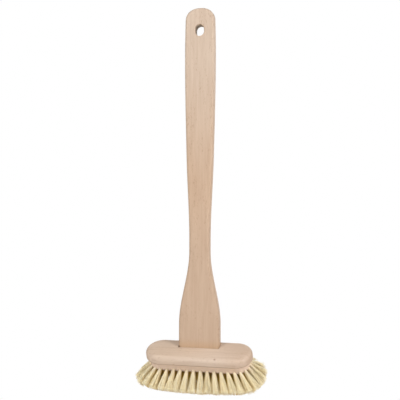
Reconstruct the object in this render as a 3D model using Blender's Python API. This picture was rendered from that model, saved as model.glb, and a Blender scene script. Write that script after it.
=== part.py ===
# A long-handled bathtub brush in beech with plant fibre tufts.
# Metres, +Z up. The handle stands along Z and the origin is the middle of its hang hole.
# The brush is seen from -Y, and its head leans back under the handle.

import math
import random

import bpy
from mathutils import Matrix, Vector
from mathutils.geometry import tessellate_polygon

# Handle: a flat board with a shaped outline and rounded edges
HANDLE_REACH = 0.3510           # hang hole down to the head's top, on the front face
END_ABOVE_HOLE = 0.0255
END_WIDTH = 0.0323
ARCH_HEIGHT = 0.0136            # the rounded end, from its tip to the straight sides
ARCH_SQUARENESS = 2.3           # 2 is an ellipse, more is squarer
BULGE_WIDTH = 0.0343
BULGE_BELOW_HOLE = 0.0276
GRIP_WIDTH = 0.0301
GRIP_BELOW_HOLE = 0.1396
NECK_WIDTH = 0.0231
NECK_LENGTH = 0.013
FLARE_LENGTH = 0.079            # from the neck out to the foot
FOOT_WIDTH = 0.0457
FOOT_ABOVE_HEAD = 0.0259        # the foot's straight part
GRIP_THICKNESS = 0.0105
FOOT_THICKNESS = 0.012
EDGE_RADIUS = 0.003
HANG_HOLE_RADIUS = 0.0051
HANG_HOLE_STRETCH = 0.0022      # how much taller than wide
HANG_HOLE_EASE = 0.0008

# Joint between handle and head: the whole foot is glued into a slanted socket
HEAD_LEAN = math.radians(24.0)
SOCKET_DEPTH = 0.008            # along the handle's front face
SOCKET_FROM_MIDDLE = 0.001      # the handle's front face behind the head's centre line
SOCKET_CORNER_RADIUS = 0.001
CLEARANCE = 0.0003              # between a piece and its seat

# Head: one block with a full upper part and a narrower band that holds the tufts
HEAD_LENGTH = 0.1194
HEAD_WIDTH = 0.0364
UPPER_HEIGHT = 0.0114
TOP_EDGE_RADIUS = 0.0048
SHOULDER_RADIUS = 0.0022
BAND_INSET = 0.0038
BAND_HEIGHT = 0.0055
LOWER_EDGE_RADIUS = 0.0065

# Tufts: a ring drilled slantwise round the lower edge, rows inside it
TUFT_HOLE_RADIUS = 0.0019
TUFT_HOLE_DEPTH = 0.005
TUFT_SINK = 0.0004              # a tuft's root lies this far below the mouth of its hole
RING_SEAT_ANGLE = math.radians(66.0)    # where on the lower edge, from straight down
RING_SIDE_FLARE = math.radians(53.5)
RING_END_FLARE = math.radians(48.0)
RING_FAN = math.radians(34.0)   # how far the side tufts turn towards the ends
RING_SIDE_LENGTH = 0.0239
RING_END_LENGTH = 0.0222
SIDE_TUFTS = 12                 # on each straight side
END_TUFTS = 6                   # round each end
ROW_OFFSET = 0.0046             # inner rows from the centre line
ROW_FROM_END = 0.0145           # a row's last tuft from the head's end
ROW_TUFTS = 11
ROW_FLARE = math.radians(9.0)
ROW_LENGTH = 0.022

# Strands of one tuft
STRAND_RADIUS_ROOT = 0.00042
STRAND_RADIUS_TIP = 0.00065
STRAND_RING_ROOT = 0.001
STRAND_RING_TIP = 0.0036
STRANDS_ROUND = 6               # and one in the middle
STRAND_SIDES = 3
TUFT_SIDES = 8
TUFT_BEND = 0.0007
LENGTH_SPREAD = 0.03

# Worked out from the above
HEAD_RADIUS = HEAD_WIDTH / 2
HEAD_STRAIGHT = HEAD_LENGTH / 2 - HEAD_RADIUS
HEAD_HEIGHT = UPPER_HEIGHT + BAND_HEIGHT + LOWER_EDGE_RADIUS
BAND_RADIUS = HEAD_RADIUS - BAND_INSET
HANDLE_BOTTOM = -(HANDLE_REACH + SOCKET_DEPTH)
FOOT_BELOW_HOLE = HANDLE_REACH - FOOT_ABOVE_HEAD
NECK_END_BELOW_HOLE = FOOT_BELOW_HOLE - FLARE_LENGTH
NECK_TOP_BELOW_HOLE = NECK_END_BELOW_HOLE - NECK_LENGTH

# Colours
HANDLE_COLOUR = (0.62, 0.46, 0.32)
HEAD_COLOUR = (0.64, 0.48, 0.35)
FIBRE_COLOUR = (0.78, 0.62, 0.36)


def clear_scene():
    for obj in list(bpy.data.objects):
        bpy.data.objects.remove(obj, do_unlink=True)


def make_material(name, colour, roughness):
    mat = bpy.data.materials.new(name)
    mat.use_nodes = True
    shader = mat.node_tree.nodes["Principled BSDF"]
    shader.inputs["Base Color"].default_value = (*colour, 1.0)
    shader.inputs["Roughness"].default_value = roughness
    shader.inputs["Metallic"].default_value = 0.0
    return mat


def add_piece(name, verts, faces, mat=None, sharp=40.0):
    mesh = bpy.data.meshes.new(name)
    mesh.from_pydata([tuple(v) for v in verts], [], faces)
    mesh.shade_smooth()
    mesh.set_sharp_from_angle(angle=math.radians(sharp))
    obj = bpy.data.objects.new(name, mesh)
    if mat:
        mesh.materials.append(mat)
    bpy.context.scene.collection.objects.link(obj)
    return obj


def add_cutter(name, verts, faces, target):
    obj = add_piece(name, verts, faces)
    obj.hide_render = True
    obj.display_type = "WIRE"
    cut = target.modifiers.new(name, "BOOLEAN")
    cut.operation = "DIFFERENCE"
    cut.solver = "EXACT"
    cut.object = obj
    return obj


def ring_faces(first, second, count):
    """Quads between two closed rings of vertices that start at these numbers."""
    return [
        (first + i, first + (i + 1) % count, second + (i + 1) % count, second + i)
        for i in range(count)
    ]


def stack_rings(rings):
    """A closed solid through rings of equal length, from the lowest to the highest."""
    count = len(rings[0])
    verts = [v for ring in rings for v in ring]
    faces = [tuple(reversed(range(count)))]
    for k in range(len(rings) - 1):
        faces += ring_faces(k * count, (k + 1) * count, count)
    faces.append(tuple(range(len(verts) - count, len(verts))))
    return verts, faces


def ease(t):
    t = min(max(t, 0.0), 1.0)
    return t * t * (3 - 2 * t)


# Handle


def taper(below):
    """Width between bulge and neck, on two cubic spans that meet smoothly at the grip."""
    upper = (GRIP_WIDTH - BULGE_WIDTH) / (GRIP_BELOW_HOLE - BULGE_BELOW_HOLE)
    lower = (NECK_WIDTH - GRIP_WIDTH) / (NECK_TOP_BELOW_HOLE - GRIP_BELOW_HOLE)
    slope = 2 * upper * lower / (upper + lower)
    if below < GRIP_BELOW_HOLE:
        span = GRIP_BELOW_HOLE - BULGE_BELOW_HOLE
        t = (below - BULGE_BELOW_HOLE) / span
        base = BULGE_WIDTH + (GRIP_WIDTH - BULGE_WIDTH) * ease(t)
        return base + slope * span * (t**3 - t**2)
    span = NECK_TOP_BELOW_HOLE - GRIP_BELOW_HOLE
    t = (below - GRIP_BELOW_HOLE) / span
    base = GRIP_WIDTH + (NECK_WIDTH - GRIP_WIDTH) * ease(t)
    return base + slope * span * (t**3 - 2 * t**2 + t)


def handle_width(z):
    below = -z
    if below < BULGE_BELOW_HOLE:
        t = (below + END_ABOVE_HOLE) / (BULGE_BELOW_HOLE + END_ABOVE_HOLE)
        return END_WIDTH + (BULGE_WIDTH - END_WIDTH) * math.sin(max(t, 0) * math.pi / 2)
    if below < NECK_TOP_BELOW_HOLE:
        return taper(below)
    flare = (below - NECK_END_BELOW_HOLE) / (FOOT_BELOW_HOLE - NECK_END_BELOW_HOLE)
    return NECK_WIDTH + (FOOT_WIDTH - NECK_WIDTH) * ease(flare)


def handle_thickness(z):
    t = (-z - NECK_END_BELOW_HOLE) / (FOOT_BELOW_HOLE - NECK_END_BELOW_HOLE)
    return GRIP_THICKNESS + (FOOT_THICKNESS - GRIP_THICKNESS) * ease(t)


def side_heights():
    """Heights of the outline's points on the straight sides, from the bottom up."""
    arch_base = END_ABOVE_HOLE - ARCH_HEIGHT
    stops = [
        (HANDLE_BOTTOM, 1),
        (-FOOT_BELOW_HOLE, 14),
        (-NECK_END_BELOW_HOLE, 1),
        (-NECK_TOP_BELOW_HOLE, 5),
        (-GRIP_BELOW_HOLE, 5),
        (-BULGE_BELOW_HOLE, 3),
        (arch_base, 0),
    ]
    heights = []
    for (low, steps), (high, _) in zip(stops, stops[1:]):
        heights += [low + (high - low) * i / steps for i in range(steps)]
    return heights


def handle_outline():
    """The left side, the arch and the right side as (x, z), with outward normals."""
    half = [(-handle_width(z) / 2, z) for z in side_heights()]
    arch_steps = 9
    for i in range(arch_steps):
        turn = math.pi / 2 * (1 - i / arch_steps)
        power = 2 / ARCH_SQUARENESS
        z = END_ABOVE_HOLE - ARCH_HEIGHT * (1 - math.cos(turn) ** power)
        half.append((-handle_width(z) / 2 * math.sin(turn) ** power, z))
    points = half + [(0.0, END_ABOVE_HOLE)] + [(-x, z) for x, z in reversed(half)]
    normals = []
    last = len(points) - 1
    for i in range(len(points)):
        (x0, z0), (x1, z1) = points[max(i - 1, 0)], points[min(i + 1, last)]
        normals.append(Vector((z0 - z1, x1 - x0)).normalized())
    normals[0], normals[-1] = Vector((-1, 0)), Vector((1, 0))
    return points, normals


def build_handle(mat):
    points, normals = handle_outline()
    count = len(points)
    steps = 4
    rounding = []
    for k in range(steps + 1):
        turn = math.pi / 2 * k / steps
        inset = EDGE_RADIUS * (1 - math.sin(turn))
        rounding.append((inset, EDGE_RADIUS * (1 - math.cos(turn))))

    # Open rings from the front face over the edge to the back face
    verts = []
    rings = [(inset, depth, -1) for inset, depth in rounding]
    rings += [(inset, depth, 1) for inset, depth in reversed(rounding)]
    for inset, depth, side in rings:
        for (x, z), normal in zip(points, normals):
            px, pz = x - normal.x * inset, z - normal.y * inset
            py = side * (handle_thickness(pz) / 2 - depth)
            verts.append((px, py, pz))

    faces = []
    for k in range(len(rings) - 1):
        a, b = k * count, (k + 1) * count
        faces += [(a + i, b + i, b + i + 1, a + i + 1) for i in range(count - 1)]
    # The foot's end, square to the handle
    starts = [k * count for k in range(len(rings))]
    faces.append(tuple(starts[::-1]) + tuple(s + count - 1 for s in starts))
    # Front and back: strips where the foot swells, one flat face above
    flat_from = next(i for i, z in enumerate(side_heights()) if z >= -NECK_END_BELOW_HOLE)
    for base, flip in ((0, False), ((len(rings) - 1) * count, True)):
        sheet = [
            (base + i, base + i + 1, base + count - 2 - i, base + count - 1 - i)
            for i in range(flat_from)
        ]
        sheet.append(tuple(range(base + flat_from, base + count - flat_from)))
        faces += [tuple(reversed(f)) for f in sheet] if flip else sheet

    handle = add_piece("handle", verts, [tuple(reversed(f)) for f in faces], mat)
    add_hang_hole(handle)
    return handle


def add_hang_hole(handle):
    """A bore a little taller than wide, with eased rims."""
    steps, half_steps = 4, 16
    face = GRIP_THICKNESS / 2
    beyond = face + 0.002
    profile = [(HANG_HOLE_RADIUS + HANG_HOLE_EASE, beyond)]
    for k in range(steps + 1):
        turn = math.pi / 2 * k / steps
        radius = HANG_HOLE_RADIUS + HANG_HOLE_EASE * (1 - math.sin(turn))
        profile.append((radius, face - HANG_HOLE_EASE * (1 - math.cos(turn))))
    profile += [(radius, -y) for radius, y in reversed(profile)]
    rings = []
    for radius, y in profile:
        ring = []
        for end in (1, -1):
            for i in range(half_steps + 1):
                turn = math.pi * i / half_steps
                x = end * radius * math.cos(turn)
                z = end * (HANG_HOLE_STRETCH / 2 + radius * math.sin(turn))
                ring.append((x, y, z))
        rings.append(ring)
    add_cutter("hang_hole_cutter", *stack_rings(rings), handle)


# Head


def stadium(radius, z, straight=HEAD_STRAIGHT, steps=14):
    """A long ring with round ends, anticlockwise seen from above."""
    ring = []
    for end in (1, -1):
        for i in range(steps + 1):
            turn = -math.pi / 2 + math.pi * i / steps
            ring.append(
                (
                    end * (straight + radius * math.cos(turn)),
                    end * radius * math.sin(turn),
                    z,
                )
            )
    return ring


def head_profile():
    """(radius, height) from the flat underside up to the flat top, whose height is 0."""
    floor = -HEAD_HEIGHT
    profile = []
    steps = 6
    for k in range(steps + 1):
        turn = math.pi / 2 * k / steps
        inset = LOWER_EDGE_RADIUS * (1 - math.sin(turn))
        profile.append((BAND_RADIUS - inset, floor + LOWER_EDGE_RADIUS * (1 - math.cos(turn))))
    profile.append((BAND_RADIUS, -UPPER_HEIGHT))
    steps = 4
    for k in range(steps + 1):
        turn = math.pi / 2 * k / steps
        inset = SHOULDER_RADIUS * (1 - math.sin(turn))
        rise = SHOULDER_RADIUS * (1 - math.cos(turn))
        profile.append((HEAD_RADIUS - inset, -UPPER_HEIGHT + rise))
    for k in range(steps + 2):
        turn = math.pi / 2 * k / (steps + 1)
        inset = TOP_EDGE_RADIUS * (1 - math.cos(turn))
        profile.append((HEAD_RADIUS - inset, -TOP_EDGE_RADIUS * (1 - math.sin(turn))))
    return profile


def build_head(mat, head_frame, seats):
    rings = [stadium(radius, z) for radius, z in head_profile()]
    head = add_piece("head_block", *stack_rings(rings), mat)
    head.parent = head_frame
    add_socket(head)
    add_tuft_holes(head, head_frame, seats)
    return head


def add_socket(head):
    """The slanted pocket, which follows the handle's foot with room for glue."""
    half_x = FOOT_WIDTH / 2 + CLEARANCE
    half_y = FOOT_THICKNESS / 2 + CLEARANCE
    low = HANDLE_BOTTOM - CLEARANCE
    high = -HANDLE_REACH + HEAD_WIDTH
    steps = 3
    outline = []
    for quarter, (sx, sy) in enumerate(((1, 1), (-1, 1), (-1, -1), (1, -1))):
        cx = sx * (half_x - SOCKET_CORNER_RADIUS)
        cy = sy * (half_y - SOCKET_CORNER_RADIUS)
        for i in range(steps + 1):
            turn = math.pi / 2 * (quarter + i / steps)
            outline.append(
                (
                    cx + SOCKET_CORNER_RADIUS * math.cos(turn),
                    cy + SOCKET_CORNER_RADIUS * math.sin(turn),
                )
            )
    rings = [[(x, y, z) for x, y in outline] for z in (low, high)]
    add_cutter("socket_cutter", *stack_rings(rings), head)


def add_tuft_holes(head, head_frame, seats):
    sides = 12
    verts, faces = [], []
    for place, direction, _ in (seat for _, seat in seats):
        turn = direction.to_track_quat("Z", "Y").to_matrix().to_4x4()
        matrix = Matrix.Translation(place) @ turn
        rings = []
        for z in (-TUFT_HOLE_DEPTH, TUFT_HOLE_DEPTH):
            around = [2 * math.pi * i / sides for i in range(sides)]
            ring = [
                (TUFT_HOLE_RADIUS * math.cos(a), TUFT_HOLE_RADIUS * math.sin(a), z)
                for a in around
            ]
            rings.append([matrix @ Vector(v) for v in ring])
        more_verts, more_faces = stack_rings(rings)
        faces += [tuple(i + len(verts) for i in face) for face in more_faces]
        verts += more_verts
    cutter = add_cutter("tuft_hole_cutter", verts, faces, head)
    cutter.parent = head_frame


# Tufts


def slanted(plan, flare):
    """A direction down from the head, turned out by flare towards a plan angle."""
    out = math.sin(flare)
    return Vector((out * math.cos(plan), out * math.sin(plan), -math.cos(flare)))


def ring_seats():
    """Places and directions round the lower edge, from the front left corner."""
    centre = BAND_RADIUS - LOWER_EDGE_RADIUS
    radius = centre + LOWER_EDGE_RADIUS * math.sin(RING_SEAT_ANGLE)
    z = -HEAD_HEIGHT + LOWER_EDGE_RADIUS * (1 - math.cos(RING_SEAT_ANGLE))
    quarter = math.pi / 2
    seats = []
    for side in (-1, 1):
        for i in range(SIDE_TUFTS):
            share = 2 * i / (SIDE_TUFTS - 1) - 1
            x = -side * share * HEAD_STRAIGHT
            plan = side * (quarter - RING_FAN * x / HEAD_STRAIGHT)
            seats.append((Vector((x, side * radius, z)), plan))
        for i in range(END_TUFTS):
            turn = side * quarter - side * math.pi * (i + 1) / (END_TUFTS + 1)
            end = Vector((-side * HEAD_STRAIGHT, 0, z))
            spoke = Vector((-side * math.cos(turn), math.sin(turn), 0))
            plan = turn * (quarter - RING_FAN) / quarter
            if side > 0:
                plan = math.pi - plan
            seats.append((end + radius * spoke, plan))
    found = []
    for place, plan in seats:
        across = abs(math.sin(plan))
        flare = RING_END_FLARE + (RING_SIDE_FLARE - RING_END_FLARE) * across
        length = RING_END_LENGTH + (RING_SIDE_LENGTH - RING_END_LENGTH) * across
        found.append((place, slanted(plan, flare), length))
    return found


def row_seats(side):
    seats = []
    for i in range(ROW_TUFTS):
        share = 2 * i / (ROW_TUFTS - 1) - 1
        x = share * (HEAD_LENGTH / 2 - ROW_FROM_END)
        lean = Vector((math.tan(RING_FAN) * share, side, 0)) * math.tan(ROW_FLARE)
        direction = Vector((lean.x, lean.y, -1)).normalized()
        place = Vector((x, side * ROW_OFFSET, -HEAD_HEIGHT))
        seats.append((place, direction, ROW_LENGTH))
    return seats


def all_seats():
    seats = [(f"ring_tuft_{i + 1:02d}", s) for i, s in enumerate(ring_seats())]
    seats += [(f"front_row_tuft_{i + 1:02d}", s) for i, s in enumerate(row_seats(-1))]
    seats += [(f"back_row_tuft_{i + 1:02d}", s) for i, s in enumerate(row_seats(1))]
    return seats


def polygon(centre, radius, sides, z, turn=0.0):
    around = [turn + 2 * math.pi * i / sides for i in range(sides)]
    return [
        Vector((centre[0] + radius * math.cos(a), centre[1] + radius * math.sin(a), z))
        for a in around
    ]


def tuft_shape(length, rng):
    """One tuft along +Z: the bound root that fills the hole, and strands that spread."""
    foot = CLEARANCE - TUFT_HOLE_DEPTH
    radius = TUFT_HOLE_RADIUS - CLEARANCE
    turn = rng.uniform(0, 2 * math.pi)
    bend_turn = rng.uniform(0, 2 * math.pi)
    bend = TUFT_BEND * rng.random()
    levels = (0.0, 0.5, 1.0)

    verts = polygon((0, 0), radius, TUFT_SIDES, foot)
    verts += polygon((0, 0), radius, TUFT_SIDES, -TUFT_SINK)
    faces = [tuple(reversed(range(TUFT_SIDES)))] + ring_faces(0, TUFT_SIDES, TUFT_SIDES)

    rim = list(range(TUFT_SIDES, 2 * TUFT_SIDES))
    loops = [rim]
    spots = [(0.0, 0.0)]
    for i in range(STRANDS_ROUND):
        a = turn + 2 * math.pi * i / STRANDS_ROUND
        spots.append((math.cos(a), math.sin(a)))
    for sx, sy in spots:
        reach = length * (1 + rng.uniform(-LENGTH_SPREAD, LENGTH_SPREAD))
        twist = rng.uniform(0, 2 * math.pi)
        rings = []
        for t in levels:
            spread = STRAND_RING_ROOT + (STRAND_RING_TIP - STRAND_RING_ROOT) * t
            thick = STRAND_RADIUS_ROOT + (STRAND_RADIUS_TIP - STRAND_RADIUS_ROOT) * t
            cx = sx * spread + bend * t * t * math.cos(bend_turn)
            cy = sy * spread + bend * t * t * math.sin(bend_turn)
            z = -TUFT_SINK + (reach + TUFT_SINK) * t
            start = len(verts)
            verts += polygon((cx, cy), thick, STRAND_SIDES, z, twist)
            rings.append(start)
        for low, high in zip(rings, rings[1:]):
            faces += ring_faces(low, high, STRAND_SIDES)
        faces.append(tuple(rings[-1] + i for i in range(STRAND_SIDES)))
        loops.append([rings[0] + i for i in reversed(range(STRAND_SIDES))])

    # The root's outer face, with a hole where each strand leaves it
    order = [i for loop in loops for i in loop]
    for face in tessellate_polygon([[verts[i] for i in loop] for loop in loops]):
        a, b, c = (order[i] for i in face)
        upward = (verts[b] - verts[a]).cross(verts[c] - verts[a]).z > 0
        faces.append((a, b, c) if upward else (a, c, b))
    return verts, faces


def build_tufts(mat, head_frame, seats):
    rng = random.Random(7)
    for name, (place, direction, length) in seats:
        tuft = add_piece(name, *tuft_shape(length, rng), mat, sharp=30.0)
        tuft.parent = head_frame
        tuft.location = place
        tuft.rotation_mode = "QUATERNION"
        tuft.rotation_quaternion = direction.to_track_quat("Z", "Y")


def add_head_frame():
    """The middle of the head's top, so that the socket lies under the handle's foot."""
    frame = bpy.data.objects.new("head_frame", None)
    frame.rotation_euler = (HEAD_LEAN, 0, 0)
    frame.location = (
        0,
        -FOOT_THICKNESS / 2 - SOCKET_FROM_MIDDLE * math.cos(HEAD_LEAN),
        -HANDLE_REACH - SOCKET_FROM_MIDDLE * math.sin(HEAD_LEAN),
    )
    bpy.context.scene.collection.objects.link(frame)
    return frame


def main():
    clear_scene()
    handle_wood = make_material("handle_beech", HANDLE_COLOUR, 0.62)
    head_wood = make_material("head_beech", HEAD_COLOUR, 0.6)
    fibre = make_material("plant_fibre", FIBRE_COLOUR, 0.75)
    head_frame = add_head_frame()
    seats = all_seats()
    build_handle(handle_wood)
    build_head(head_wood, head_frame, seats)
    build_tufts(fibre, head_frame, seats)


main()
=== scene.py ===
import math
import random

import bpy
from mathutils import Matrix, Vector


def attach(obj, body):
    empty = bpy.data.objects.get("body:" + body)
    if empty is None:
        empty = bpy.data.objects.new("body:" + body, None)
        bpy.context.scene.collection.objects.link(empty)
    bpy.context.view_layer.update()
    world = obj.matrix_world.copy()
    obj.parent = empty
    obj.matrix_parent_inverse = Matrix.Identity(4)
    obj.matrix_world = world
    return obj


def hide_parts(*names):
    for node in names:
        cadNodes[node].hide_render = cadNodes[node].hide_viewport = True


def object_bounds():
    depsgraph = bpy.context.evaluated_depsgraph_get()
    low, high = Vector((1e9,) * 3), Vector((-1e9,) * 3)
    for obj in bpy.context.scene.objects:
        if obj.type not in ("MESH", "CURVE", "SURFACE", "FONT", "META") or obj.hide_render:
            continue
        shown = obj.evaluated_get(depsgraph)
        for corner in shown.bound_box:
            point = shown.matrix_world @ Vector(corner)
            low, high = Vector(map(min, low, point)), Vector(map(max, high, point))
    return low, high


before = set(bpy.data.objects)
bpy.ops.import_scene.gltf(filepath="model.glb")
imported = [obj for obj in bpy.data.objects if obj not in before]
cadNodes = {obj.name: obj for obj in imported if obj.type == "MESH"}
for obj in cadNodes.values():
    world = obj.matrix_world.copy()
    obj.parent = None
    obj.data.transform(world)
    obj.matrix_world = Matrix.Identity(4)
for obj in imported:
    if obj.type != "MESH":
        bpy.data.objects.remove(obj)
cadLow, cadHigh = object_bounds()
quarterTurn = math.pi / 2
fullTurn = math.pi * 2
print("frame loaded, nodes:", len(cadNodes))


# A socket of a shader. Sums on it add Math nodes, and node() adds any other kind.
class Wire:
    def __init__(self, tree, socket=None):
        self.tree = tree
        self.socket = socket

    def node(self, kind, settings=None, inputs=None, out=0):
        made = self.tree.nodes.new("ShaderNode" + kind)
        for name, value in (settings or {}).items():
            setattr(made, name, value)
        for name, value in (inputs or {}).items():
            if isinstance(value, Wire):
                self.tree.links.new(value.socket, made.inputs[name])
            else:
                made.inputs[name].default_value = value
        return Wire(self.tree, made.outputs[out])

    def sum(self, operation, first, second):
        return self.node("Math", {"operation": operation}, {0: first, 1: second})

    def __add__(self, other):
        return self.sum("ADD", self, other)

    def __radd__(self, other):
        return self.sum("ADD", other, self)

    def __sub__(self, other):
        return self.sum("SUBTRACT", self, other)

    def __rsub__(self, other):
        return self.sum("SUBTRACT", other, self)

    def __mul__(self, other):
        return self.sum("MULTIPLY", self, other)

    def __pow__(self, other):
        return self.sum("POWER", self, other)

    # a soft step from 0 to 1 as this value goes from low to high
    def between(self, low, high):
        return self.node(
            "MapRange",
            {"interpolation_type": "SMOOTHSTEP"},
            {"Value": self, "From Min": low, "From Max": high},
        )

    # the first colour where this value is 0, the second where it is 1
    def blendOf(self, first, second):
        return self.node(
            "Mix",
            {"data_type": "RGBA", "blend_type": "MIX", "clamp_factor": True},
            {0: self, 6: first, 7: second},
            out=2,
        )


# a colour as a picture shows it, 0 to 255, in the linear light that shaders use
def tone(red, green, blue):
    linear = []
    for part in (red, green, blue):
        share = part / 255
        linear.append(share / 12.92 if share < 0.04045 else ((share + 0.055) / 1.055) ** 2.4)
    return (*linear, 1.0)


def newMaterial(name):
    material = bpy.data.materials.new(name)
    material.use_nodes = True
    tree = material.node_tree
    shader = tree.nodes["Principled BSDF"]
    return material, tree, shader


# Beech: growth rings round a far pith, streaks, short ray flecks and darker end grain.
# A noise has its scales across, in depth and along the grain, its detail, and the two
# values that its soft step runs between.

beech = {
    "ringSpacing": 0.0031,
    "ringDrift": 0.006,         # a ring moves out by this share of the way along the grain
    "ringBend": 0.0022,
    "bendScales": (28, 28, 5),
    "ringEdge": 5.0,            # how sharply a ring darkens at its late wood
    "noiseRoughness": 0.55,
    "noises": {
        "streak": ((420, 420, 24), 4.0, (0.32, 0.68)),
        "fineStreak": ((2600, 2600, 60), 3.0, (0.35, 0.65)),
        "patch": ((42, 42, 9), 2.0, (0.3, 0.7)),
        "ray": ((1500, 480, 290), 1.0, (0.60, 0.72)),
        "rayPlace": ((150, 150, 34), 1.0, (0.40, 0.62)),
        "pore": ((5200, 5200, 380), 1.0, (0.60, 0.74)),
    },
    "endGrainFrom": 0.25,
    "darkBy": {                 # how much each layer darkens the wood
        "lateWood": 0.08,
        "streak": 0.15,
        "fineStreak": 0.09,
        "fleck": 0.50,
        "pore": 0.11,
        "endGrain": 0.28,
    },
    "roughness": 0.56,
    "roughBy": {"fineStreak": 0.07, "lateWood": -0.04, "pore": 0.05},
    "gloss": 0.38,
    "bumpStrength": 0.55,
    "bumpHeight": 0.00009,
    "raisedBy": {
        "fineStreak": 0.35,
        "lateWood": 0.25,
        "streak": 0.25,
        "fleck": -0.3,
        "pore": -0.4,
    },
}


# along is the axis of the grain in the piece's own coordinates
def makeBeech(name, along, look, mark, fade=None):
    material, tree, shader = newMaterial(name)
    start = Wire(tree)
    place = start.node("TexCoord", out="Object")
    facing = start.node("TexCoord", out="Normal")
    axes = {"X": 0, "Y": 1, "Z": 2}
    order = {"X": ("Y", "Z", "X"), "Z": ("X", "Y", "Z")}[along]
    across, depth, grain = (
        start.node("SeparateXYZ", inputs={0: place}, out=axes[axis]) for axis in order
    )
    endOn = start.node("SeparateXYZ", inputs={0: facing}, out=axes[along])

    def grainNoise(scales, detail=2.0):
        stretched = start.node(
            "CombineXYZ",
            inputs={0: across * scales[0], 1: depth * scales[1], 2: grain * scales[2]},
        )
        return start.node(
            "TexNoise",
            {"noise_dimensions": "3D"},
            {
                "Vector": stretched,
                "Scale": 1.0,
                "Detail": detail,
                "Roughness": beech["noiseRoughness"],
            },
        )

    # growth rings, bent a little by a slow noise
    bend = grainNoise(beech["bendScales"]) * beech["ringBend"]
    offAcross = across - look["pith"][0]
    offDepth = depth - look["pith"][1]
    fromPith = (offAcross * offAcross + offDepth * offDepth) ** 0.5
    ringPlace = (fromPith + bend + grain * beech["ringDrift"]) * (1 / beech["ringSpacing"])
    ring = start.node("Math", {"operation": "FRACT"}, {0: ringPlace})

    layers = {"lateWood": ring ** beech["ringEdge"]}
    for layer, (scales, detail, ends) in beech["noises"].items():
        layers[layer] = grainNoise(scales, detail).between(*ends)
    layers["fleck"] = layers["ray"] * layers["rayPlace"]  # dashes that gather here and there
    layers["endGrain"] = (endOn * endOn).between(beech["endGrainFrom"], 1.0)

    def weighed(shares):
        total = 0
        for layer, share in shares.items():
            total = total + layers[layer] * share
        return total

    patch = layers["patch"]
    base = fade(grain, patch) if fade else patch.blendOf(look["pale"], look["deep"])
    colour = weighed(beech["darkBy"]).blendOf(base, look["dark"])
    colour = mark(start, place, colour)
    rough = weighed(beech["roughBy"]) + beech["roughness"]
    bump = start.node(
        "Bump",
        inputs={
            "Strength": beech["bumpStrength"],
            "Distance": beech["bumpHeight"],
            "Height": weighed(beech["raisedBy"]),
        },
    )
    tree.links.new(colour.socket, shader.inputs["Base Color"])
    tree.links.new(rough.socket, shader.inputs["Roughness"])
    tree.links.new(bump.socket, shader.inputs["Normal"])
    shader.inputs["Specular IOR Level"].default_value = beech["gloss"]
    return material


# Handle. The same sizes as the solid, with finer steps.

handleSizes = {
    "reach": 0.3510,            # hang hole to the head's top
    "endAboveHole": 0.0255,
    "endWidth": 0.0323,
    "archHeight": 0.0136,
    "archSquareness": 2.3,
    "bulgeWidth": 0.0343,
    "bulgeBelowHole": 0.0276,
    "gripWidth": 0.0301,
    "gripBelowHole": 0.1396,
    "neckWidth": 0.0231,
    "neckLength": 0.013,
    "flareLength": 0.079,
    "footWidth": 0.0457,
    "footAboveHead": 0.0259,
    "gripThickness": 0.0105,
    "footThickness": 0.012,
    "edgeRadius": 0.003,
    "faceInset": 0.0007,        # the flat faces begin this far inside the rounding
    "socketDepth": 0.008,
    "holeRadius": 0.0051,
    "holeStretch": 0.0022,      # taller than wide by this
    "holeEase": 0.0009,
    "cutterBeyond": 0.002,      # how far the hole's cutter stands out of the faces
    "step": 0.004,              # between outline points on the sides
    "archSteps": 26,
    "edgeSteps": 8,
    "holeSteps": 36,            # round half the hole
    "sharpAngle": 50,           # in degrees, where the shading breaks at an edge
}
footBelow = handleSizes["reach"] - handleSizes["footAboveHead"]
neckEndBelow = footBelow - handleSizes["flareLength"]
neckTopBelow = neckEndBelow - handleSizes["neckLength"]
handleBottom = -(handleSizes["reach"] + handleSizes["socketDepth"])


def ease(share):
    share = min(max(share, 0.0), 1.0)
    return share * share * (3 - 2 * share)


# 0 up to start, then a soft climb to 1 over span
def rise(value, start, span):
    return ease((value - start) / span)


# width between bulge and neck: two cubic spans that meet smoothly at the grip
def taperWidth(below):
    h = handleSizes
    upper = (h["gripWidth"] - h["bulgeWidth"]) / (h["gripBelowHole"] - h["bulgeBelowHole"])
    lower = (h["neckWidth"] - h["gripWidth"]) / (neckTopBelow - h["gripBelowHole"])
    slope = 2 * upper * lower / (upper + lower)
    if below < h["gripBelowHole"]:
        span = h["gripBelowHole"] - h["bulgeBelowHole"]
        t = (below - h["bulgeBelowHole"]) / span
        level = h["bulgeWidth"] + (h["gripWidth"] - h["bulgeWidth"]) * ease(t)
        return level + slope * span * (t**3 - t**2)
    span = neckTopBelow - h["gripBelowHole"]
    t = (below - h["gripBelowHole"]) / span
    level = h["gripWidth"] + (h["neckWidth"] - h["gripWidth"]) * ease(t)
    return level + slope * span * (t**3 - 2 * t**2 + t)


def handleWidth(z):
    h = handleSizes
    below = -z
    if below < h["bulgeBelowHole"]:
        t = (below + h["endAboveHole"]) / (h["bulgeBelowHole"] + h["endAboveHole"])
        widening = math.sin(max(t, 0) * quarterTurn)
        return h["endWidth"] + (h["bulgeWidth"] - h["endWidth"]) * widening
    if below < neckTopBelow:
        return taperWidth(below)
    flare = ease((below - neckEndBelow) / h["flareLength"])
    return h["neckWidth"] + (h["footWidth"] - h["neckWidth"]) * flare


def handleThickness(z):
    h = handleSizes
    swell = ease((-z - neckEndBelow) / h["flareLength"])
    return h["gripThickness"] + (h["footThickness"] - h["gripThickness"]) * swell


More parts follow.
